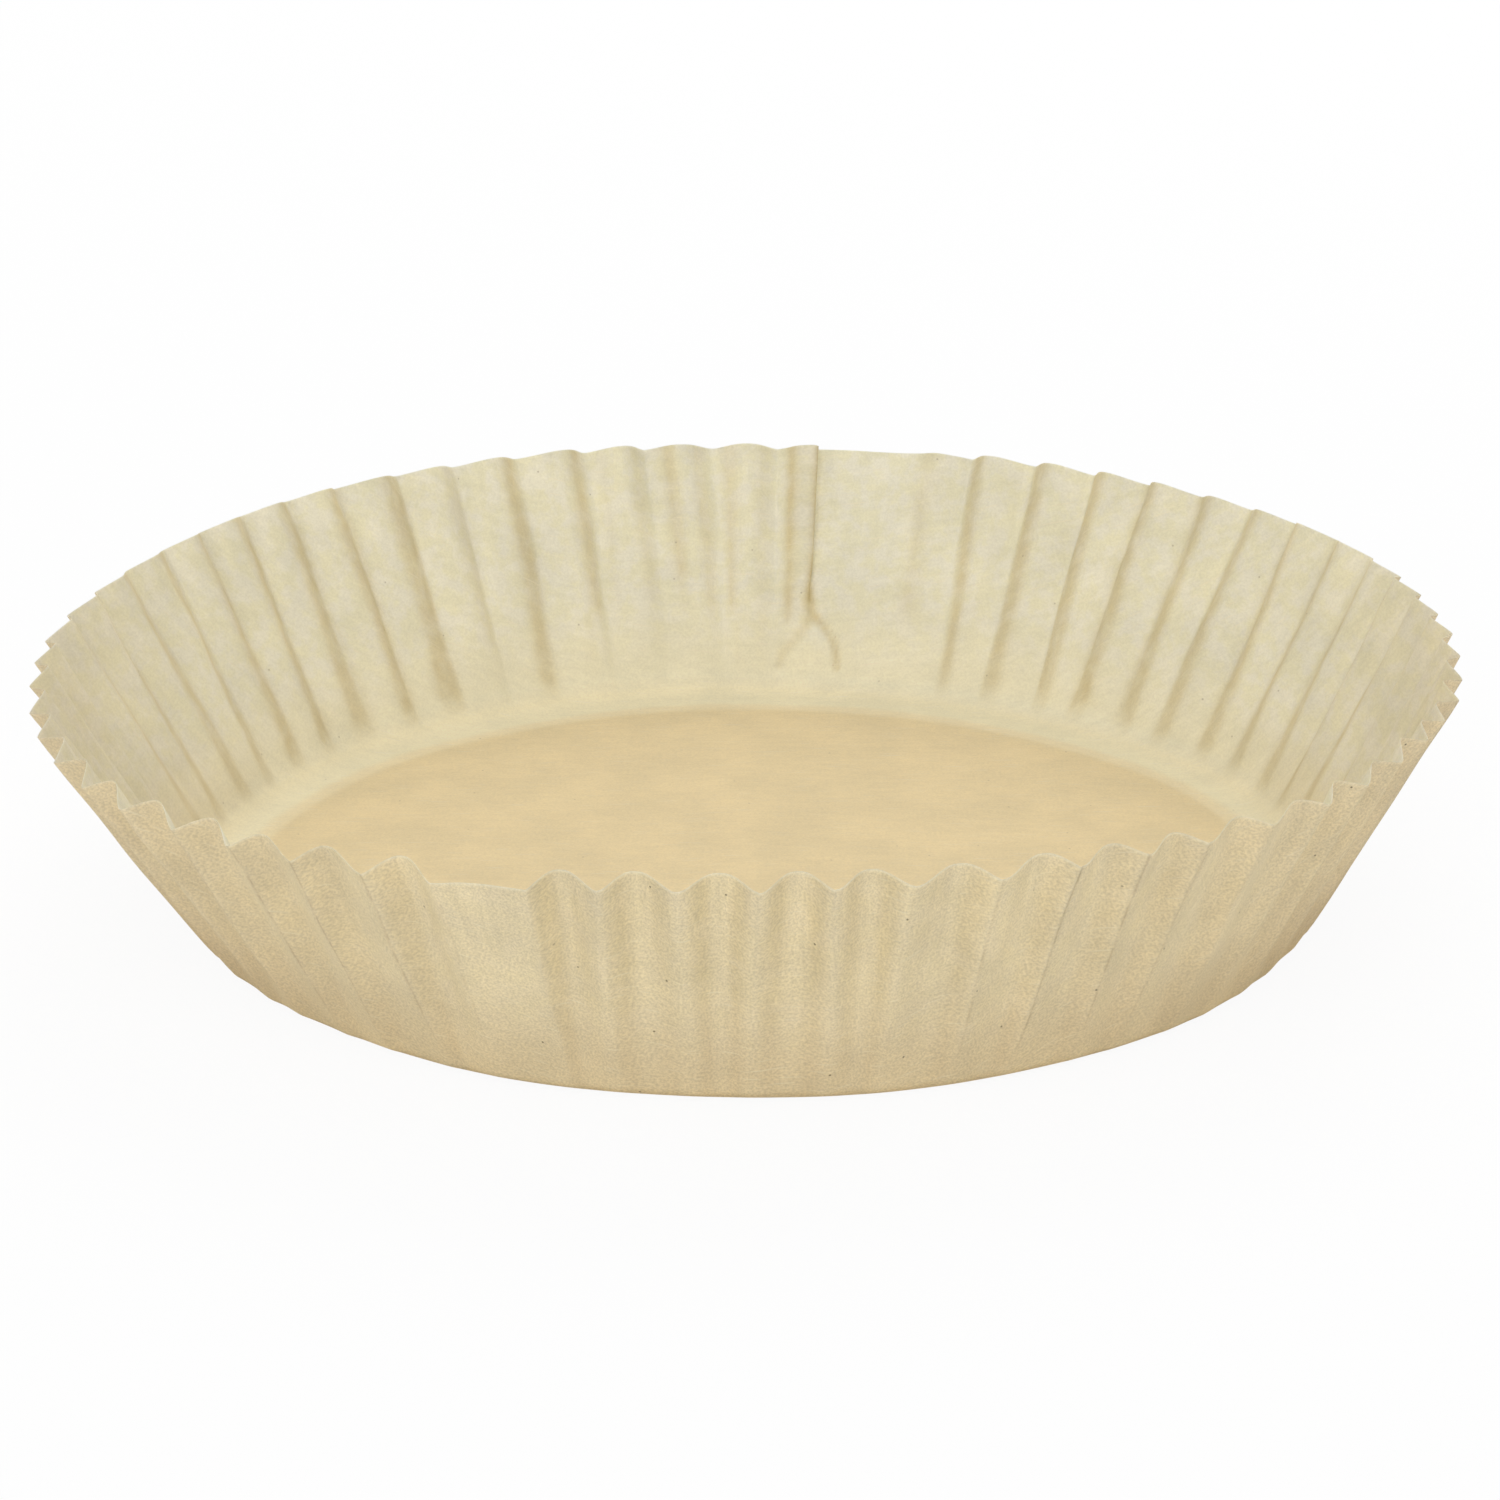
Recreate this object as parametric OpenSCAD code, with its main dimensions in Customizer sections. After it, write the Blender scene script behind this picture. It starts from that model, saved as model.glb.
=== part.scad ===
// Round paper liner for an air fryer basket: one sheet of parchment pressed into a shallow cup,
// with a flat base and a flared, fluted wall. One knife pleat at the back takes up spare paper.
// Azimuths are in degrees around +Z, from +X towards +Y. The front of the liner is at -Y.

/* [Base] */
// Mean width of the base, across the corner where base and wall would meet
base_d = 160; // [120:1:220]
// How much longer the base is along its long way than across it
base_oval = 1; // [0:0.5:6]
// Mean radius of the soft crease where the wall turns up
crease_r = 5; // [2:0.5:8]
// How much softer the crease is at the back than its mean, and sharper at the front
crease_swing = 1.5; // [0:0.5:1.5]

/* [Wall] */
// Height of the wall, measured up its slope
wall_slant = 40; // [30:1:60]
// Mean lean of the wall away from upright, in degrees
flare = 28.5; // [15:0.5:40]
// How far the lean swings around the rim, in degrees, where the wall has relaxed
flare_swing = 3.5; // [0:0.5:5]

/* [Flutes] */
// Number of flutes in the wall, without the pleat
flutes = 59; // [40:1:70]
// Depth of a flute at the rim, from outward ridge to inward groove
flute_depth = 3; // [1:0.1:5]
// How much the depth differs between flutes, as a share of it
flute_variety = 0.16; // [0:0.02:0.3]

/* [Pleat] */
// Azimuth of the folded edge of the knife pleat
pleat_azimuth = 84.5; // [0:0.5:359.5]
// Degrees by which the folded edge laps over the flat panel beside it
pleat_lap = 1.2; // [0:0.2:2]

/* [Paper] */
// Thickness of the sheet
paper_t = 0.06; // [0.05:0.01:0.3]

/* [Hidden] */

// The sheet bends at these places across one flute, as shares of its width from ridge to ridge
FLUTE_BENDS = [0, 0.1, 0.38, 0.5, 0.62, 0.9];
// How round the ridges and grooves are: 0 is a sine wave, near 1 is a sharp zigzag
FLUTE_SHARPNESS = 0.93;
// By which power the inward grooves are broader than the outward ridges: 1 is as broad
GROOVE_BREADTH = 1.3;

// Stretches of the wall in turn from the pleat: degrees that each spans, and how many of the
// flutes it holds. The wide ones are where the sheet was gathered less tightly.
STRETCHES = [[17.5, 3], [25, 4], [45, 8], [10.5, 2], [17, 3], [42.5, 7], [7, 1], [5.5, 1], [24, 4],
             [13.5, 2], [11.5, 2], [13, 2], [17.5, 3], [15, 3], [11.5, 2], [15.5, 3], [51.5, 9]];

// Grooves that stayed shallow: place along the stretches in flutes, and share of a full groove
SHALLOW = [[27, 0.15], [38, 0.8]];

// The sheet through the pleat: degrees from the folded edge at the base, outward share of half a
// flute's depth, and share of the lap by which it leans over towards the rim. A ridge and a faint
// groove come first, then the flat panel, the fold behind it, and the folded edge in front.
PLEAT = [[-12, 0.2, 0], [-10.5, -0.3, 0], [-9, 0.25, 0], [-6.5, 0.5, 0], [-3.5, 0.45, 0],
         [-1.3, 0.55, 0.3], [-0.6, 0.6, 0.5], [-0.1, 0.2, 0.4], [0.3, -0.5, -0.3],
         [0.7, -0.95, -0.5], [1.1, -1.05, -0.4], [1.8, -0.6, 0], [2.6, 0.2, 0]];
// Degrees from the folded edge to the last ridge before the panel and the first ridge after it
PANEL_START = -13.5;
PANEL_END = 3.5;

// Rows of points up the sheet: 0 to 1 is the bend of the crease, 1 to 2 is the wall above it
ROWS = [0, 0.5, 1, 1.15, 1.45, 2];
// A flute's depth grows up the wall as this power of the height
FADE_POWER = 0.65;
// Shares of the wall's height between which the pleat begins to lap
LAP_FROM = 0.25;
LAP_TO = 0.5;

// What varies around the wall is a sum of waves: degrees of the wave for each degree or flute
// passed, the azimuth or flute at which it is highest, and its share of the whole
// The wall's lean, by azimuth: it leans out most at the back, and least at the front
LEAN_WAVES = [[1, 110, 1], [2, 37, 0.65], [3, 82, 0.65]];
// The depth of the flutes, by flute: deepest at the front, less so at the back, least at the
// sides, and uneven from one to the next
DEPTH_WAVES = [[6, 28, 0.6], [12, 28, 1], [61, 3, 0.3], [137, 2, 0.4]];
// How far, in flutes, each groove lies from halfway between its ridges, by azimuth: on both
// halves of the wall, the grooves are drawn towards the sides
SHIFT_WAVES = [[1, 0, 0.1], [3, 60, 0.1]];
// How unevenly they do, by flute
UNEVEN_SHIFT = [99, 1, 0.04];
// The base's outline, by azimuth: a long way across it, and faint corners, in mm
BASE_OVAL_WAVE = [2, 40];
BASE_CORNERS = [10, 246, 0.2];
// Shares of the base's radius at which the wall's flat margin begins, and where the floor ends
MARGIN = 0.8;
FLOOR = 0.85;

// Sum of a list
function total(list, i = 0) = i == len(list) ? 0 : list[i] + total(list, i + 1);
function wave(w, x) = w[2] * cos(w[0] * (x - w[1]));
function waves(list, x) = total([for (w = list) wave(w, x)]);
function smooth(t) = t <= 0 ? 0 : t >= 1 ? 1 : t * t * (3 - 2 * t);

stretch_degrees = total([for (s = STRETCHES) s[0]]);
stretch_flutes = total([for (s = STRETCHES) s[1]]);
open_degrees = 360 - (PANEL_END - PANEL_START);

// Azimuth at a place counted in the flutes of STRETCHES, from the first ridge after the pleat
function stretch_azimuth(place, i = 0) =
    i == len(STRETCHES) - 1 || place <= STRETCHES[i][1]
        ? STRETCHES[i][0] * place / STRETCHES[i][1]
        : STRETCHES[i][0] + stretch_azimuth(place - STRETCHES[i][1], i + 1);
function place_azimuth(place) =
    pleat_azimuth + PANEL_END + stretch_azimuth(place) * open_degrees / stretch_degrees;

// Section of one flute: 1 at an outward ridge, -1 at an inward groove
function zigzag(turn) = asin(FLUTE_SHARPNESS * cos(360 * turn)) / asin(FLUTE_SHARPNESS);
function flute_section(turn) = 2 * pow((1 + zigzag(turn)) / 2, GROOVE_BREADTH) - 1;
function groove_share(flute) =
    total([for (s = SHALLOW) floor(s[0] * flutes / stretch_flutes) == flute ? s[1] - 1 : 0]) + 1;
function flute_size(flute) = 1 + flute_variety * waves(DEPTH_WAVES, flute);

// One column of points up the sheet: azimuth at the base, outward share, lean towards the rim
function flute_column(flute, turn) =
    let (middle = place_azimuth((flute + 0.5) * stretch_flutes / flutes),
         shift = (waves(SHIFT_WAVES, middle) + wave(UNEVEN_SHIFT, flute)) * sin(180 * turn),
         place = (flute + turn + shift) * stretch_flutes / flutes,
         swing = flute_section(turn))
    [place_azimuth(place), flute_size(flute) * (1 - (1 - swing) * groove_share(flute)), 0];
function pleat_column(bend) = [pleat_azimuth + bend[0] + 360, bend[1], bend[2] * pleat_lap];
COLUMNS = [
    for (flute = [0:flutes - 1], turn = FLUTE_BENDS) flute_column(flute, turn),
    [pleat_azimuth + PANEL_START + 360, 1, 0],
    for (bend = PLEAT) pleat_column(bend)
];

function lean_at(azimuth) = flare + flare_swing * waves(LEAN_WAVES, azimuth);
function base_radius(azimuth) =
    base_d / 2 + wave(concat(BASE_OVAL_WAVE, base_oval / 2), azimuth) + wave(BASE_CORNERS, azimuth);

// Radius and height of the unfluted sheet in a row
function section(azimuth, row) =
    let (lean = lean_at(azimuth),
         crease = crease_r + crease_swing * sin(azimuth),
         bend = (90 - lean) * min(row, 1),
         corner = crease * tan((90 - lean) / 2),
         up = max(row - 1, 0) * (wall_slant - corner))
    [base_radius(azimuth) - corner + crease * sin(bend) + up * sin(lean),
     crease * (1 - cos(bend)) + up * cos(lean)];

// Point of the sheet's underside in a column and row
function under(column, row) =
    let (up = max(row - 1, 0),
         azimuth = column[0] + column[2] * smooth((up - LAP_FROM) / (LAP_TO - LAP_FROM)),
         lean = lean_at(azimuth),
         spot = section(azimuth, row),
         out = column[1] * flute_depth / 2 * pow(up, FADE_POWER),
         r = spot[0] + out * cos(lean))
    [r * cos(azimuth), r * sin(azimuth), spot[1] - out * sin(lean)];

count = len(COLUMNS);
last_row = len(ROWS) - 1;
UNDER = [for (row = ROWS) [for (column = COLUMNS) under(column, row)]];

// Direction through the paper, from its underside to its upper side
function across(j, i) =
    let (along = UNDER[j][(i + 1) % count] - UNDER[j][(i + count - 1) % count],
         upward = UNDER[min(j + 1, last_row)][i] - UNDER[max(j - 1, 0)][i],
         normal = cross(along, upward))
    j == 0 ? [0, 0, 1] : -normal / norm(normal);
UPPER = [for (j = [0:last_row]) [for (i = [0:count - 1]) UNDER[j][i] + paper_t * across(j, i)]];

// The rings of points in order: the flat margin and the rows, underside first
function flat_ring(height) =
    [for (point = UNDER[0]) [MARGIN * point[0], MARGIN * point[1], height]];
RINGS = concat([flat_ring(0)], UNDER, [for (j = [last_row:-1:0]) UPPER[j]], [flat_ring(paper_t)]);
// The place in RINGS of the upper side's first ring, at the rim
upper_start = last_row + 2;

// The two triangles between two rings. Both sides of the paper are cut the same way across,
// so that they never pass through each other.
function strip(j, i) =
    let (a = j * count + i,
         b = j * count + (i + 1) % count,
         c = (j + 1) % len(RINGS) * count + (i + 1) % count,
         d = (j + 1) % len(RINGS) * count + i)
    j < upper_start ? [[a, c, b], [a, d, c]] : [[a, d, b], [b, d, c]];

// The fluted wall, its crease and a flat margin, as one closed ring
module wall() {
    polyhedron(
        points = [for (ring = RINGS) each ring],
        faces = [for (j = [0:len(RINGS) - 1], i = [0:count - 1]) each strip(j, i)],
        convexity = 10
    );
}

// The flat round floor inside the wall's margin
module floor_disc() {
    cylinder(r = FLOOR * base_d / 2, h = paper_t, $fn = 180);
}

module paper_liner() {
    color("BurlyWood") {
        wall();
        floor_disc();
    }
}

paper_liner();
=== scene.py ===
import math

import bpy
import numpy as np
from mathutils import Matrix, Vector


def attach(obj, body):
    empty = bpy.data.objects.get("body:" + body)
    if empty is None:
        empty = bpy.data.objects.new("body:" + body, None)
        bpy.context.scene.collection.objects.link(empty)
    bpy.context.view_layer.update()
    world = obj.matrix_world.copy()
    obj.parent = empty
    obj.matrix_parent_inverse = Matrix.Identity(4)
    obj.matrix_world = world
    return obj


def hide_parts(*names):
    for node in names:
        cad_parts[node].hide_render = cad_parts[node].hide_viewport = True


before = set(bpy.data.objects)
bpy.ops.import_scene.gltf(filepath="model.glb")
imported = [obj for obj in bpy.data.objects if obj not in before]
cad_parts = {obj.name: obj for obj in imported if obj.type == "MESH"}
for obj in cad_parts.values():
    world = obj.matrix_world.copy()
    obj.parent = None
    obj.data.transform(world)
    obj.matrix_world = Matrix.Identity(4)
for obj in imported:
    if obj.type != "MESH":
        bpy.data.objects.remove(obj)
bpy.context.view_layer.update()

scene = bpy.context.scene
scene.view_settings.view_transform = "Standard"

# The camera stands in front of the liner and looks down on it, by so many degrees.
CAMERA_PLACE = (-0.00092, -0.797, 0.3131)
CAMERA_DOWN = 20.2
CAMERA_LENS = 143.06
SENSOR_WIDTH = 36
camera_data = bpy.data.cameras.new("camera")
camera_data.sensor_width = SENSOR_WIDTH
camera_data.lens = CAMERA_LENS
camera = bpy.data.objects.new("camera", camera_data)
camera.location = CAMERA_PLACE
camera.rotation_euler = (math.radians(90 - CAMERA_DOWN), 0, 0)
scene.collection.objects.link(camera)
scene.camera = camera

# Sizes are in millimetres up to the point where a mesh is made, and azimuths in degrees around
# +Z from +X towards +Y, as in the part's source. These first values are the same as there, apart
# from FADE_SOONER, which is only here, and from SHIFT_WAVES, whose first wave is lower here.
MM = 0.001
BASE_D = 160
BASE_OVAL = 1
CREASE_R = 5
CREASE_SWING = 1.5
WALL_SLANT = 40
FLARE = 28.5
FLARE_SWING = 3.5
FLUTES = 59
FLUTE_DEPTH = 3
FLUTE_VARIETY = 0.16
PLEAT_AZIMUTH = 84.5
PLEAT_LAP = 1.2
PAPER_T = 0.06
STRETCHES = [(17.5, 3), (25, 4), (45, 8), (10.5, 2), (17, 3), (42.5, 7), (7, 1), (5.5, 1), (24, 4),
             (13.5, 2), (11.5, 2), (13, 2), (17.5, 3), (15, 3), (11.5, 2), (15.5, 3), (51.5, 9)]
SHALLOW = {27: 0.15, 38: 0.8}
PLEAT = [(-13.5, 1, 0), (-12, 0.2, 0), (-10.5, -0.3, 0), (-9, 0.25, 0), (-6.5, 0.5, 0),
         (-3.5, 0.45, 0), (-1.3, 0.55, 0.3), (-0.6, 0.6, 0.5), (-0.1, 0.2, 0.4), (0.3, -0.5, -0.3),
         (0.7, -0.95, -0.5), (1.1, -1.05, -0.4), (1.8, -0.6, 0), (2.6, 0.2, 0)]
PANEL_START, PANEL_END = -13.5, 3.5
FADE_POWER = 0.65
# Where the flutes fade out higher up: azimuth, spread in degrees, and addition to that power
FADE_SOONER = [(270, 40, 0.45), (97, 22, 0.35)]
LAP_FROM, LAP_TO = 0.25, 0.5
LEAN_WAVES = [(1, 110, 1), (2, 37, 0.65), (3, 82, 0.65)]
DEPTH_WAVES = [(6, 28, 0.6), (12, 28, 1), (61, 3, 0.3), (137, 2, 0.4)]
SHIFT_WAVES = [(1, 0, 0.05), (3, 60, 0.1)]
UNEVEN_SHIFT = (99, 1, 0.04)
BASE_OVAL_WAVE = (2, 40)
BASE_CORNERS = (10, 246, 0.2)

# How sharp the ridges and grooves are, where 1 is a zigzag, and where they are rounder:
# azimuth, spread to both sides in degrees, and how much rounder
SHARPNESS = 0.94
ROUNDER = [(270, 26, 0.26), (140, 28, 0.2), (90, 30, 0.14), (45, 28, 0.2)]
# By which power the grooves are broader than the ridges: mean, and its wave around the wall
BREADTH = 1.25
BREADTH_WAVE = (2, 90, 0.25)
# How far the flutes lean sideways from rim to foot, in degrees
DRIFT = -0.3
DRIFT_WAVES = [(11, 112, 0.35), (29, 146, -0.45)]
# Waves of the flutes on their way up: waves around the wall and up it, and reach, first
# sideways in degrees, and then outward in mm
WANDER_WAVES = [(57, 1.2, 0.07), (23, 0.7, 0.09)]
RIPPLE_WAVES = [(19, 0.8, 0.12), (43, 1.6, 0.07), (7, 2.3, 0.08)]
# Share of their depth that the flutes have at the foot, and how far down the crease they reach
FOOT_SHARE = 0.12
FOOT_BEND = 0.3
# Creases by themselves: their points in degrees and in mm up the wall, their depth outward and
# half breadth in mm, and the strength of the painted shade along them. The pleat's foot opens in
# the first three, the next lie beside it, and the last are where flutes end in the crease.
CREASES = [
    ([(84.5, 16), (84.2, 9.5), (83.2, 7.5), (81.8, 5), (81.2, 1.5), (81.1, 0)], 0.4, 0.6, 1.2),
    ([(84.2, 8.5), (84.8, 7), (85.9, 4.8), (87.3, 2.5), (87.6, 0.5)], 0.25, 0.8, 0.6),
    ([(83.3, 5), (83.4, 3.5)], -0.45, 1.5, -0.2),
    ([(86.7, 35), (86.7, 8.5)], 0.05, 0.7, 0.7),
    ([(92.2, 35), (92.4, 10)], 0.05, 0.8, 0.3),
    ([(97.8, 35), (97.9, 15)], 0.15, 0.8, 0.7),
    ([(107, 35), (107.2, 14.5), (108.3, 3.5)], 0, 1, 0.2),
    ([(52.6, 4), (51.6, 1.5), (50.8, 0)], 0.2, 1, 0.4),
    ([(126, 6), (126.6, 2), (125.8, 0)], 0.25, 1.4, 0.3),
    ([(131.2, 2.5), (130.6, 0)], 0.15, 1.3, 0.3),
    ([(141.6, 3), (142.4, 0)], 0.2, 1.5, 0.4),
    ([(148, 3), (148.8, 0)], 0.15, 1.5, 0.3),
]
# How strong the painted fold shade in a flute's flank is, where it is fainter than in the rest, and
# the share of the wall's height from which it is. Past NEXT_FLANK of a flute, it is that of the next
# one.
FAINTER_FOLD_SHADE = {0: (0.15, 0.1), 1: (0.45, 0.35), 2: (0.25, 0.4), 3: (0.8, 0.35), 5: (0.25, 0.3)}
# Azimuths and spreads of the stretches where the outside has thin lines of painted shade along its
# ridges
RIDGE_SHADE_STRETCHES = [(234, 15), (301, 12)]
CRISP_BREADTH = 0.02
# Share of the wall's height over which they begin
CRISP_RISE = 0.3
# Painted shade makes the paper a little deeper in tone at the left and right: azimuths, and spread in
# degrees
SHADED_SIDES = (191, -9)
SIDE_SHADE_SPREAD = 27
# How far past the middle of the back and front both flanks of a flute get painted shade alike
FLANK_OVERLAP = 0.3
# The back and front end, and the left and right begin, at these cosines of the azimuth
BACK_TO, SIDES_FROM = 0.3, 0.6
# Breadth of the strip of painted fold shade, in flutes, and by how much more of a flute it
# spreads both ways at the left and right
FOLD_SHADE_SPREAD = 0.12
FOLD_SHADE_REACH = 0.1
# The strips of painted fold shade fade in over the crease at the foot: share of its bend where
# they begin, how strong they are at its end, and how fast they grow above it
STRIP_BEND = 0.4
STRIP_FOOT = 0.7
STRIP_GROWTH = 6
# Share of the wall's height over which a strip that starts higher up begins
STRIP_RISE = 0.15
# Millimetres of floor that count as one full bend of the crease in the base's colour, with its painted
# light
LIFT_SPAN = 6
# Where painted fold shade lies at the pleat: degrees from its folded edge, half breadth, and strength
PLEAT_FOLD_SHADES = [(-10, 1, 0.4), (0.4, 0.5, 1.2), (2.2, 0.7, 0.5)]
# How far above LAP_FROM the pleat has its painted fold shade, and the points between two of its bends
PLEAT_SHADE_ABOVE = 0.1
PLEAT_STEPS = 6
# Degrees to both sides of the pleat over which the flutes keep their place on their way up
STEADY_SPREAD = 8
# How fast the waves sideways grow up the wall, to their full reach
WANDER_GROWTH = 3
# Shares of the wall's height over which the creases by themselves begin, in shape and in painted shade
DENT_RISE, DENT_SHADE_RISE = 0.05, 0.03
# Where the painted light through the paper begins further inside: azimuth, spread and share of LIFT_SPAN
EARLY_LIGHT_THROUGH = (60, 28, 0.25)
# The front, with the spreads in degrees of its outer folds' painted shade and of its rim's painted
# highlight
FRONT = 270
FRONT_SPREAD, RIM_HIGHLIGHT_SPREAD = 25, 70
# The rim's edge, with its painted highlight, begins at this share of the wall's height, and is full so
# much further up
EDGE_FROM, EDGE_RISE = 0.985, 0.01
NEXT_FLANK = 0.75
# Places across a flute at which the mesh has a column of points
TURNS = [0, 0.03, 0.07, 0.13, 0.2, 0.28, 0.36, 0.43, 0.5, 0.57, 0.64, 0.72, 0.8, 0.87, 0.93, 0.97]


def sind(x):
    return np.sin(np.radians(x))


def cosd(x):
    return np.cos(np.radians(x))


def wave(w, x):
    return w[2] * cosd(w[0] * (x - w[1]))


def waves(many, x):
    return sum(wave(w, x) for w in many)


def rising_waves(many, azimuth, up):
    """Waves around the wall that move sideways on their way up it."""
    return sum(reach * cosd(around * azimuth + 360 * turns * up) for around, turns, reach in many)


def smooth(t):
    t = np.clip(t, 0, 1)
    return t * t * (3 - 2 * t)


def bell(x, middle, spread):
    """1 at the middle azimuth, fading to 0 over the spread to both sides of it."""
    away = (x - middle + 180) % 360 - 180
    return np.exp(-((away / spread) ** 2))


def flute_section(turn, sharpness, breadth):
    """Section of a flute: 1 at an outward ridge, -1 at an inward groove, which is broader."""
    zigzag = np.arcsin(sharpness * cosd(360 * turn)) / np.arcsin(sharpness)
    return 2 * ((1 + zigzag) / 2) ** breadth - 1


def curve_through(points, steps):
    """A smooth curve through points, with as many steps between each two of them."""
    p = np.array(points, float)
    ends = np.vstack([2 * p[0] - p[1], p, 2 * p[-1] - p[-2]])
    t = np.arange(steps)[:, None] / steps
    parts = []
    for i in range(1, len(ends) - 2):
        a, b, c, d = ends[i - 1 : i + 3]
        cubic = (3 * b - a - 3 * c + d) * t**3 + (2 * a - 5 * b + 4 * c - d) * t**2
        parts.append((2 * b + (c - a) * t + cubic) / 2)
    return np.vstack(parts)


def fold_shade_strength(middle, turn, groove):
    """Strength of the painted fold shade across a flute: in its steeper flank, nearer the sides."""
    across = cosd(middle)
    falling = smooth((FLANK_OVERLAP - across) / FLANK_OVERLAP)
    rising = smooth((FLANK_OVERLAP + across) / FLANK_OVERLAP)
    reach = FOLD_SHADE_REACH * smooth((np.abs(across) - BACK_TO) / (SIDES_FROM - BACK_TO))
    total = 0
    for strength, centre in ((falling, groove / 2), (rising, (1 + groove) / 2)):
        away = abs((turn - centre + 0.5) % 1 - 0.5)
        total += strength * np.exp(-((max(away - reach, 0) / FOLD_SHADE_SPREAD) ** 2))
    return total


def line_distance(points, azimuth, height):
    """Distance in mm on the wall from a line of points."""
    x, y = np.radians(azimuth) * BASE_D / 2, height
    nearest = np.inf
    for (a0, h0), (a1, h1) in zip(points, points[1:]):
        x0, x1 = math.radians(a0) * BASE_D / 2, math.radians(a1) * BASE_D / 2
        run, climb = x1 - x0, h1 - h0
        part = np.clip(((x - x0) * run + (y - h0) * climb) / (run**2 + climb**2), 0, 1)
        nearest = np.minimum(nearest, np.hypot(x - x0 - part * run, y - h0 - part * climb))
    return nearest


def sheet_columns():
    """By column: azimuth, outward share, lap, painted fold shade, painted ridge shade, and height where
    fold shade begins.
    """
    marks = np.cumsum([0] + [s[1] for s in STRETCHES])
    spans = np.cumsum([0] + [s[0] for s in STRETCHES])
    azimuths = PLEAT_AZIMUTH + PANEL_END + spans * (360 - PANEL_END + PANEL_START) / spans[-1]
    columns = []
    for flute in range(FLUTES):
        middle = np.interp(flute + 0.5, marks, azimuths)
        shift = waves(SHIFT_WAVES, middle) + wave(UNEVEN_SHIFT, flute)
        size = 1 + FLUTE_VARIETY * waves(DEPTH_WAVES, flute)
        sharpness = SHARPNESS - sum(less * bell(middle, az, spread) for az, spread, less in ROUNDER)
        breadth = BREADTH + wave(BREADTH_WAVE, middle)
        share = SHALLOW.get(flute, 1)
        for turn in TURNS:
            tight, lowest = FAINTER_FOLD_SHADE.get(flute + (turn > NEXT_FLANK), (1, 0))
            shifted = turn + shift * sind(180 * turn)
            swing = flute_section(turn, sharpness, breadth)
            # Strength of the painted fold shade in this column
            crease = tight * share * fold_shade_strength(middle, shifted, 0.5 + shift)
            out = size * (1 - (1 - swing) * share)
            crisp = sum(bell(middle, az, spread) for az, spread in RIDGE_SHADE_STRETCHES)
            crisp *= math.exp(-((min(turn, 1 - turn) / CRISP_BREADTH) ** 2))
            place = np.interp(flute + shifted, marks, azimuths)
            columns.append((place, out, 0, crease, crisp, lowest))
    lowest = LAP_FROM + PLEAT_SHADE_ABOVE
    for away, out, lap in curve_through([*PLEAT, (PANEL_END, 1, 0)], PLEAT_STEPS):
        crease = sum(
            tight * np.exp(-(((away - at) / breadth) ** 2)) for at, breadth, tight in PLEAT_FOLD_SHADES
        )
        columns.append((PLEAT_AZIMUTH + 360 + away, out, lap * PLEAT_LAP, crease, 0, lowest))
    return np.array(columns)


def sheet_points(columns, bends, heights):
    """The underside of the sheet: rows of points through the crease and then up the wall."""
    azimuth, out, lap = columns.T[:3]
    fluted = np.any(out)
    steady = 1 - bell(azimuth, PLEAT_AZIMUTH, STEADY_SPREAD)
    rows = []
    for bend, up in [(b, 0) for b in bends] + [(1, h) for h in heights]:
        sideways = (DRIFT + waves(DRIFT_WAVES, azimuth)) * (1 - up)
        sideways = sideways + min(1, WANDER_GROWTH * up) * rising_waves(WANDER_WAVES, azimuth, up)
        az = azimuth + lap * smooth((up - LAP_FROM) / (LAP_TO - LAP_FROM)) + sideways * steady
        lean = FLARE + FLARE_SWING * waves(LEAN_WAVES, az)
        soft = CREASE_R + CREASE_SWING * sind(az)
        corner = soft * np.tan(np.radians((90 - lean) / 2))
        turn = (90 - lean) * bend
        base = BASE_D / 2 + wave((*BASE_OVAL_WAVE, BASE_OVAL / 2), az) + wave(BASE_CORNERS, az)
        rise = up * (WALL_SLANT - corner)
        sooner = sum(more * bell(azimuth, middle, spread) for middle, spread, more in FADE_SOONER)
        foot = FOOT_SHARE * smooth((bend - FOOT_BEND) / (1 - FOOT_BEND))
        share = foot + (1 - FOOT_SHARE) * up ** (FADE_POWER + sooner)
        push = out * FLUTE_DEPTH / 2 * share
        if fluted:
            push = push + up * rising_waves(RIPPLE_WAVES, azimuth, up)
            for points, depth, breadth, _ in CREASES:
                near = np.exp(-((line_distance(points, azimuth % 360, rise) / breadth) ** 2))
                push = push + depth * near * smooth(up / DENT_RISE)
        r = base - corner + soft * sind(turn) + rise * sind(lean) + push * sind(turn)
        z = np.maximum(soft * (1 - cosd(turn)) + rise * cosd(lean) - push * cosd(turn), 0)
        rows.append(np.stack([r * cosd(az), r * sind(az), z], axis=-1))
    return np.array(rows)


columns = sheet_columns()
# Shares of the crease's bend, and of the wall's height, at which the mesh has a row of points
BENDS = [0, 0.12, 0.25, 0.38, 0.5, 0.63, 0.75, 0.88]
FINE_TO = 0.4
FINE_ROWS, COARSE_ROWS = 17, 14
HEIGHTS = np.concatenate(
    [np.linspace(0, FINE_TO, FINE_ROWS), np.linspace(FINE_TO, EDGE_FROM, COARSE_ROWS)[1:], [0.993, 1]]
)
# Shares of the way from the middle of the base to the crease at which the floor has a ring
FLOOR_SHARES = [0.12, 0.3, 0.5, 0.68, 0.82, 0.92]
under = sheet_points(columns, BENDS, HEIGHTS)
count = len(columns)
floor_rows = np.array([under[0] * [share, share, 0] for share in FLOOR_SHARES])
under = np.concatenate([floor_rows, under])
row_count = len(under)
# Height up the wall of each row, as a share, and 0 on the floor and in the crease
row_up = np.concatenate([np.zeros(len(FLOOR_SHARES) + len(BENDS)), HEIGHTS])
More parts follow.
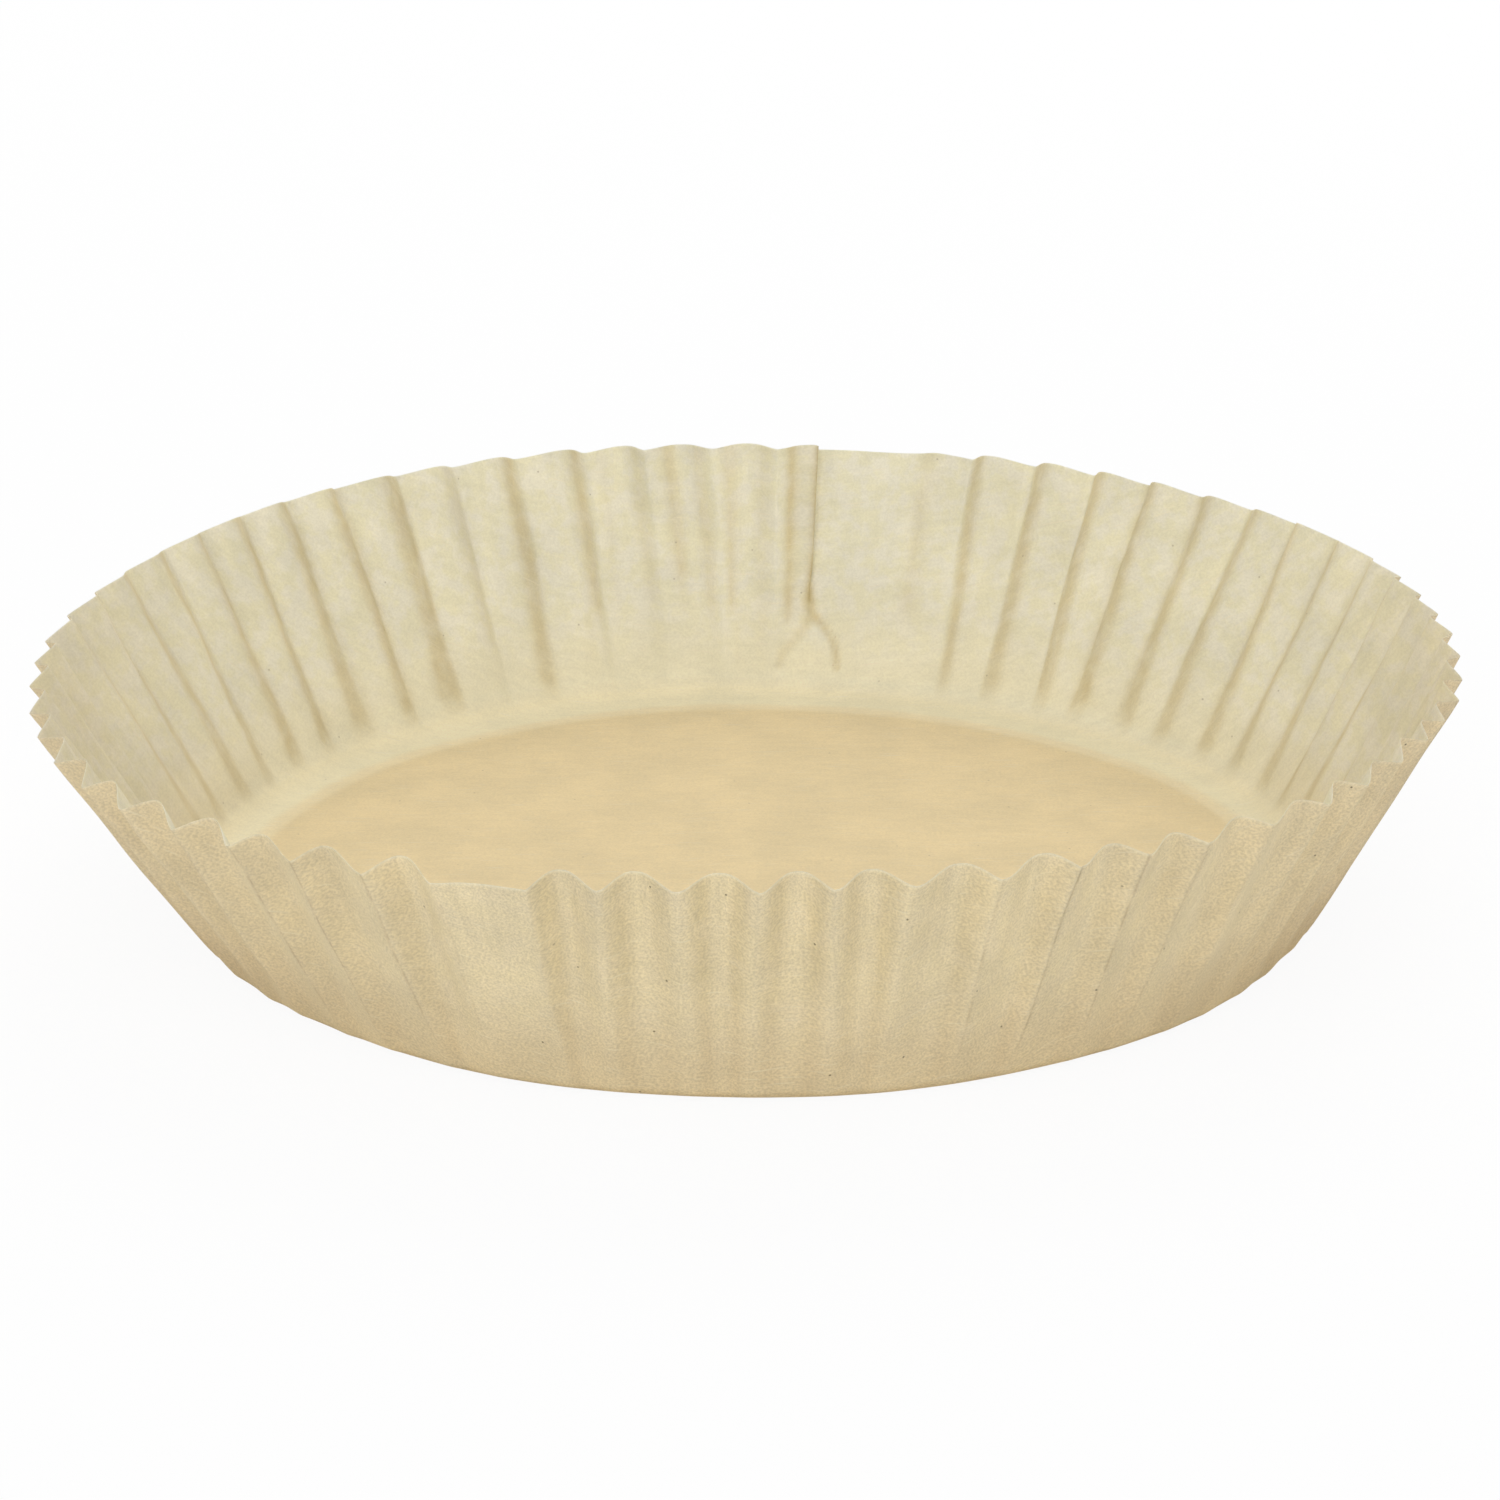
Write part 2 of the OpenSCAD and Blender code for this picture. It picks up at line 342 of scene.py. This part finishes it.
# How far each row has turned up from the floor, from 0 to 1
row_bend = np.concatenate([np.zeros(len(FLOOR_SHARES)), BENDS, np.ones(len(HEIGHTS))])


def grid_normals(grid):
    along = np.roll(grid, -1, axis=1) - np.roll(grid, 1, axis=1)
    upward = np.gradient(grid, axis=0)
    across = -np.cross(along, upward)
    return across / np.linalg.norm(across, axis=-1, keepdims=True)


def closed_sheet(under, upper):
    """One closed mesh of both sides of the sheet, joined at the rim, with a fan in the middle."""
    rings = np.concatenate([under, upper[::-1]])
    vertices = np.vstack([rings.reshape(-1, 3), [[0, 0, under[0, 0, 2]], [0, 0, upper[0, 0, 2]]]])
    i = np.arange(count)
    k = (i + 1) % count
    faces = []
    for j in range(len(rings) - 1):
        low, high = j * count, (j + 1) * count
        faces += np.stack([low + i, high + i, high + k, low + k], -1).tolist()
    last = (len(rings) - 1) * count
    centre = len(rings) * count
    faces += np.stack([np.full(count, centre), i, k], -1).tolist()
    faces += np.stack([np.full(count, centre + 1), last + k, last + i], -1).tolist()
    return vertices * MM, faces


upper = under + PAPER_T * grid_normals(under)
vertices, faces = closed_sheet(under, upper)
mesh = bpy.data.meshes.new("paper_liner_sheet")
mesh.from_pydata(vertices.tolist(), [], faces)
mesh.update()
mesh.shade_smooth()
liner = bpy.data.objects.new("paper_liner_sheet", mesh)
scene.collection.objects.link(liner)
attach(liner, "root")
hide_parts("paper_liner")

# What the paper's colour depends on is kept in the mesh, for both sides of the sheet.
# Painted shade darkens the creased flanks of the flutes and the creases by themselves, as in hollows.
azimuth, _, _, crease, crisp, lowest = columns.T
row_strip = smooth(STRIP_FOOT * (row_bend - STRIP_BEND) / (1 - STRIP_BEND) + STRIP_GROWTH * row_up)
fold_shade_grid = crease[None, :] * row_strip[:, None]
fold_shade_grid = fold_shade_grid * smooth((row_up[:, None] - lowest) / STRIP_RISE + 1)
row_rise = row_up * (WALL_SLANT - CREASE_R)
for points, _, breadth, shade_strength in CREASES:
    far = line_distance(points, azimuth[None, :] % 360, row_rise[:, None])
    line = shade_strength * np.exp(-((far / breadth) ** 2))
    fold_shade_grid = fold_shade_grid + line * smooth(row_up / DENT_SHADE_RISE)[:, None]
ridge_shade_grid = crisp[None, :] * smooth(row_up / CRISP_RISE)[:, None]

# Where each point lay in the flat sheet, in mm from its middle, by the wall without its flutes
smooth_wall = columns * [1, 0, 1, 1, 1, 1]
middle_rows = sheet_points(smooth_wall, BENDS, HEIGHTS)
first = np.linalg.norm(middle_rows[0], axis=-1)
steps = np.linalg.norm(np.diff(middle_rows, axis=0), axis=-1)
floor_slant = first[None, :] * np.array(FLOOR_SHARES)[:, None]
slant = np.vstack([floor_slant, first, first + np.cumsum(steps, axis=0)])
flat_grid = np.stack([slant * cosd(azimuth), slant * sind(azimuth), np.zeros_like(slant)], axis=-1)
# And its place around the wall and up it, in mm
turned = np.broadcast_to(np.radians(azimuth) * BASE_D / 2, slant.shape)
wall_grid = np.stack([turned, slant, np.zeros_like(slant)], axis=-1)


def both_sides(grid, centre):
    """Values of a grid for both sides of the sheet, and for the point in the middle of each."""
    lower = grid.reshape(-1, *grid.shape[2:])
    higher = grid[::-1].reshape(-1, *grid.shape[2:])
    return np.concatenate([lower, higher, centre, centre])


def keep_value(name, values):
    mesh.attributes.new(name, "FLOAT", "POINT").data.foreach_set("value", np.asarray(values, np.float32))


def each_row(values):
    return np.repeat(np.asarray(values)[:, None], count, axis=1)


keep_value("fold", both_sides(fold_shade_grid, [0]))
# Negative on the floor, by the distance from the crease. The painted light through the paper
# begins a little inside of it, and further inside at the right of the back.
floor_span = BASE_D / 2 - CREASE_R
on_floor = (np.array(FLOOR_SHARES) - 1) * floor_span / LIFT_SPAN
row_wall = row_bend + np.concatenate([on_floor, np.zeros(row_count - len(FLOOR_SHARES))])
lift_azimuth, lift_spread, lift_share = EARLY_LIGHT_THROUGH
early = lift_share * bell(azimuth, lift_azimuth, lift_spread)
keep_value("wall", both_sides(row_wall[:, None] + early, [-1]))
keep_value("front", both_sides(np.tile(bell(azimuth, FRONT, FRONT_SPREAD), (row_count, 1)), [0]))
keep_value("crisp", both_sides(ridge_shade_grid, [0]))
keep_value("height", both_sides(each_row(row_up), [0]))
# Painted highlight along the rim's edge, at the front
rim_highlight_rows = smooth((row_up - EDGE_FROM) / EDGE_RISE)
keep_value("rim", both_sides(rim_highlight_rows[:, None] * bell(azimuth, FRONT, RIM_HIGHLIGHT_SPREAD), [0]))
# Painted shade at the left and right, on the wall and not on the floor
dim = sum(bell(azimuth, middle, SIDE_SHADE_SPREAD) for middle in SHADED_SIDES)
keep_value("side", both_sides(smooth(2 * row_bend)[:, None] * dim, [0]))
inside = np.concatenate([np.zeros(row_count * count), np.ones(row_count * count), [0, 1]])
keep_value("inside", inside)
for name, grid in (("flat", flat_grid), ("around", wall_grid)):
    places = both_sides(grid, np.zeros((1, 3))).astype(np.float32)
    mesh.attributes.new(name, "FLOAT_VECTOR", "POINT").data.foreach_set("vector", places.ravel())


def add_node(tree, kind, settings=None, **inputs):
    """A shader node. Inputs are numbers, colours or other nodes' outputs, by name or as _INDEX."""
    made = tree.nodes.new("ShaderNode" + kind)
    for name, value in (settings or {}).items():
        setattr(made, name, value)
    for name, value in inputs.items():
        socket = made.inputs[int(name[1:])] if name[0] == "_" else made.inputs[name.replace("_", " ")]
        if isinstance(value, bpy.types.NodeSocket):
            tree.links.new(value, socket)
        else:
            socket.default_value = value
    return made


parchment = bpy.data.materials.new("parchment")
parchment.use_nodes = True
tree = parchment.node_tree
tree.nodes.clear()


def value_of(name):
    return add_node(tree, "Attribute", {"attribute_name": name}).outputs["Fac"]


def mix_colours(factor, first, second, blend="MIX"):
    settings = {"data_type": "RGBA", "blend_type": blend}
    return add_node(tree, "Mix", settings, _0=factor, _6=first, _7=second).outputs[2]


def ramp(value, low, high, to_low=0.0, to_high=1.0):
    """A soft step from to_low to to_high while the value goes from low to high."""
    settings = {"interpolation_type": "SMOOTHSTEP"}
    made = add_node(tree, "MapRange", settings, _0=value, _1=low, _2=high, _3=to_low, _4=to_high)
    return made.outputs[0]


def times(first, second):
    return add_node(tree, "Math", {"operation": "MULTIPLY"}, _0=first, _1=second).outputs[0]


def plus(first, second):
    return add_node(tree, "Math", {"operation": "ADD"}, _0=first, _1=second).outputs[0]


flat_place = add_node(tree, "Attribute", {"attribute_name": "flat"}).outputs["Vector"]
wall_place = add_node(tree, "Attribute", {"attribute_name": "around"}).outputs["Vector"]


def noise(scale, detail, roughness=0.5, stretch=(1, 1, 1), turn=0.0, offset=(0, 0, 0), over=flat_place):
    """Noise over the flat sheet, with scale in features per mm."""
    place = add_node(
        tree, "Mapping", Vector=over, Location=offset, Rotation=(0, 0, math.radians(turn)), Scale=stretch
    )
    made = add_node(
        tree, "TexNoise", {"noise_dimensions": "2D"},
        Vector=place.outputs[0], Scale=scale, Detail=detail, Roughness=roughness,
    )
    return made.outputs["Fac"]


# Painted light: the paler wall and the warmer crease and base stand in for light through the paper where
# it stands up
INSIDE_WALL = (0.94, 0.94, 0.86, 1)
INSIDE_MOTTLE = (0.925, 0.92, 0.77, 1)
INSIDE_FOOT = (0.98, 0.96, 0.785, 1)
# Painted shade at the left and right of the foot
SIDE_SHADE_FOOT = (0.95, 0.88, 0.66, 1)
INSIDE_CREASE = (0.985, 0.905, 0.64, 1)
INSIDE_BASE = (0.968, 0.846, 0.56, 1)
OUTSIDE_WALL = (0.895, 0.795, 0.592, 1)
OUTSIDE_LOW = (0.825, 0.717, 0.532, 1)
# Painted shade at the left and right, inside and outside
SIDE_SHADE_TINT = (0.92, 0.885, 0.83, 1)
SIDE_SHADE_TINT_OUTSIDE = (0.965, 0.96, 0.97, 1)
# Painted shade in thin dark lines along the outside's ridges
RIDGE_SHADE_TINT = (0.50, 0.40, 0.25, 1)
# Painted shade in the concave folds of the flutes
FOLD_SHADE_TINT = (0.77, 0.69, 0.45, 1)
# Painted highlight on the rim's cut edge
RIM_HIGHLIGHT_TINT = (0.97, 0.93, 0.80, 1)
FIBRE_TINT = (0.97, 0.92, 0.78, 1)
SPECK_TINT = (0.20, 0.15, 0.09, 1)
# Shares of the rim's painted highlight and of the fibres' tint, and of light that goes through the
# paper, also in the crease, where it is pressed denser
RIM_HIGHLIGHT_SHARE = 0.35
FIBRE_SHARE = 0.35
THROUGH, THROUGH_IN_CREASE = 0.45, 0.28

is_inside = value_of("inside")
fold_shade_here = value_of("fold")
turned_up = value_of("wall")
height = value_of("height")
clouds = noise(0.09, 3, 0.55)
patches = noise(0.3, 2, 0.5, offset=(40, 7, 0))
side_shade_share = value_of("side")
# Painted light: the warm base gives way to the paler wall, where light would come through the paper
lit_through = ramp(plus(plus(turned_up, times(clouds, 0.25)), times(side_shade_share, -0.4)), -0.3, 0.05)
outer = mix_colours(ramp(height, 0.0, 0.55), OUTSIDE_LOW, OUTSIDE_WALL)
mottle = ramp(noise(0.28, 3, 0.6, offset=(17, 5, 0)), 0.35, 0.65)
# A warm painted tone in the crease band, standing in for light
in_crease = times(ramp(turned_up, -0.9, -0.35), ramp(turned_up, 0.5, 1.0, 1.0, 0.0))
foot = mix_colours(side_shade_share, INSIDE_FOOT, SIDE_SHADE_FOOT)
upper_wall = mix_colours(mottle, INSIDE_WALL, INSIDE_MOTTLE)
upper_share = ramp(plus(height, times(clouds, 0.2)), 0.05, 0.5)
inside_wall = mix_colours(upper_share, foot, upper_wall)
inside_wall = mix_colours(in_crease, inside_wall, INSIDE_CREASE)
inner = mix_colours(lit_through, INSIDE_BASE, inside_wall)
side = mix_colours(is_inside, outer, inner)
streaks = noise(0.9, 3, 0.6, stretch=(0.22, 1, 1))
grain = noise(2.6, 3, 0.65)
felt = noise(1.1, 2, 0.5, offset=(9, 31, 0))
# Painted shade in the folds: patchy inside, and on the outside only at the front and higher up
inside_fold_shade = times(ramp(patches, 0.2, 0.7, 0.36, 0.64), ramp(side_shade_share, 0.0, 1.0, 1.0, 0.9))
outside_fold_shade = times(value_of("front"), ramp(height, 0.2, 0.6))
outside_fold_shade = times(outside_fold_shade, ramp(patches, 0.3, 0.65, 0.05, 0.3))
fold_shade_share = add_node(tree, "Mix", _0=is_inside, _2=outside_fold_shade, _3=inside_fold_shade).outputs[0]
folded = mix_colours(times(fold_shade_here, fold_shade_share), side, FOLD_SHADE_TINT)


def shade_by(colour, pattern, low, high):
    """The colour made darker and lighter by a pattern around 0.5."""
    level = ramp(pattern, 0.25, 0.75, low, high)
    made = add_node(tree, "CombineColor", _0=level, _1=level, _2=level)
    return mix_colours(1.0, colour, made.outputs[0], "MULTIPLY")


tone = shade_by(folded, clouds, 0.97, 1.02)
tone = shade_by(tone, streaks, 0.98, 1.015)
tone = shade_by(tone, felt, 0.985, 1.012)
ribs = noise(0.9, 2, 0.5, stretch=(1, 0.07, 1), over=wall_place)
rib_share = times(height, ramp(is_inside, 0.0, 1.0, 0.9, 0.4))
tone = mix_colours(rib_share, tone, shade_by(tone, ribs, 0.955, 1.025))
grained = shade_by(tone, grain, 0.87, 1.10)
outside_share = ramp(is_inside, 0.0, 1.0, 1.0, 0.35)
tone = mix_colours(outside_share, tone, grained)
fibres = ramp(noise(0.9, 1, 0.5, stretch=(0.16, 3.4, 1), turn=24), 0.72, 0.8)
more_fibres = ramp(noise(0.9, 1, 0.5, stretch=(0.16, 3.4, 1), turn=-38, offset=(3, 3, 0)), 0.72, 0.8)
tone = mix_colours(times(plus(fibres, more_fibres), FIBRE_SHARE), tone, FIBRE_TINT)
# Painted shade at the left and right
side_shade_tint = mix_colours(is_inside, SIDE_SHADE_TINT_OUTSIDE, SIDE_SHADE_TINT)
tone = mix_colours(side_shade_share, tone, side_shade_tint, "MULTIPLY")
# Painted highlight on the rim's edge
tone = mix_colours(times(value_of("rim"), RIM_HIGHLIGHT_SHARE), tone, RIM_HIGHLIGHT_TINT)
# Painted shade along the outside's ridges
ridge_shade_share = times(times(value_of("crisp"), outside_share), ramp(patches, 0.3, 0.7, 0.15, 0.5))
tone = mix_colours(ridge_shade_share, tone, RIDGE_SHADE_TINT)
cells = add_node(
    tree, "TexVoronoi", {"voronoi_dimensions": "2D"}, Vector=flat_place, Scale=0.08, Randomness=1.0
)
chosen = add_node(tree, "SeparateColor", _0=cells.outputs["Color"]).outputs[0]
speck = times(ramp(cells.outputs["Distance"], 0.008, 0.016, 0.8, 0.0), ramp(chosen, 0.5, 0.6))
speck = times(speck, outside_share)
tone = mix_colours(speck, tone, SPECK_TINT)

relief = plus(times(grain, 0.5), plus(times(felt, 0.5), times(streaks, 0.6)))
bump = add_node(tree, "Bump", Strength=0.25, Distance=0.00012, Height=relief)
paper = add_node(
    tree, "BsdfPrincipled",
    Base_Color=tone, Roughness=0.75, Specular_IOR_Level=0.25, Normal=bump.outputs[0],
)
glow = add_node(tree, "BsdfTranslucent", Color=tone, Normal=bump.outputs[0])
through = ramp(times(in_crease, is_inside), 0.0, 1.0, THROUGH, THROUGH_IN_CREASE)
blend = add_node(tree, "MixShader", _0=through, _1=paper.outputs[0], _2=glow.outputs[0])
add_node(tree, "OutputMaterial", Surface=blend.outputs[0])
mesh.materials.append(parchment)

# The floor is pale and plain. The camera sees it near white, with the liner's soft shadow.
FLOOR_HALF = 6
FLOOR_DROP = 0.00002
FLOOR_GREY = (0.86, 0.86, 0.86, 1)
FLOOR_WHITE_SHARE = 0.93
WHITE = (1, 1, 1, 1)
corners = [(x * FLOOR_HALF, y * FLOOR_HALF, 0) for x, y in ((-1, -1), (1, -1), (1, 1), (-1, 1))]
floor_mesh = bpy.data.meshes.new("floor")
floor_mesh.from_pydata(corners, [], [(0, 1, 2, 3)])
floor = bpy.data.objects.new("floor", floor_mesh)
floor.location.z = -FLOOR_DROP
scene.collection.objects.link(floor)
floor_material = bpy.data.materials.new("floor")
floor_material.use_nodes = True
tree = floor_material.node_tree
tree.nodes.clear()
plain = add_node(tree, "BsdfDiffuse", Color=FLOOR_GREY)
white = add_node(tree, "Emission", Color=WHITE, Strength=1)
path = add_node(tree, "LightPath")
white_share = times(path.outputs["Is Camera Ray"], FLOOR_WHITE_SHARE)
blend = add_node(tree, "MixShader", _0=white_share, _1=plain.outputs[0], _2=white.outputs[0])
add_node(tree, "OutputMaterial", Surface=blend.outputs[0])
floor_mesh.materials.append(floor_material)

# The room is dimmer towards the left and right, and plain white where it is seen.
ROOM_LEVEL = 0.8
ROOM_SIDE_LEVEL = 0.2
world = bpy.data.worlds.new("studio")
scene.world = world
world.use_nodes = True
tree = world.node_tree
tree.nodes.clear()
direction = add_node(tree, "TexCoord")
sideways = add_node(tree, "SeparateXYZ", _0=direction.outputs["Generated"]).outputs["X"]
dimmer = times(times(sideways, sideways), ROOM_SIDE_LEVEL - ROOM_LEVEL)
room = add_node(tree, "Background", Color=WHITE, Strength=plus(dimmer, ROOM_LEVEL))
backdrop = add_node(tree, "Background", Color=WHITE, Strength=1)
path = add_node(tree, "LightPath")
seen = path.outputs["Is Camera Ray"]
for ray in ("Is Glossy Ray", "Is Transmission Ray"):
    seen = add_node(tree, "Math", {"operation": "MAXIMUM"}, _0=seen, _1=path.outputs[ray]).outputs[0]
blend = add_node(tree, "MixShader", _0=seen, _1=room.outputs[0], _2=backdrop.outputs[0])
add_node(tree, "OutputWorld", Surface=blend.outputs[0])


def add_area(name, place, target, size, power):
    data = bpy.data.lights.new(name, "AREA")
    data.shape = "SQUARE"
    data.size = size
    data.energy = power
    lamp = bpy.data.objects.new(name, data)
    lamp.location = place
    aim = [t - p for t, p in zip(target, place)]
    lamp.rotation_euler = Vector(aim).to_track_quat("-Z", "Y").to_euler()
    scene.collection.objects.link(lamp)


add_area("key", (-0.25, -1.0, 1.2), (0, 0, 0), 1.2, 6.8)
add_area("back", (0.2, 1.0, 0.9), (0, 0.05, 0), 0.9, 6.5)
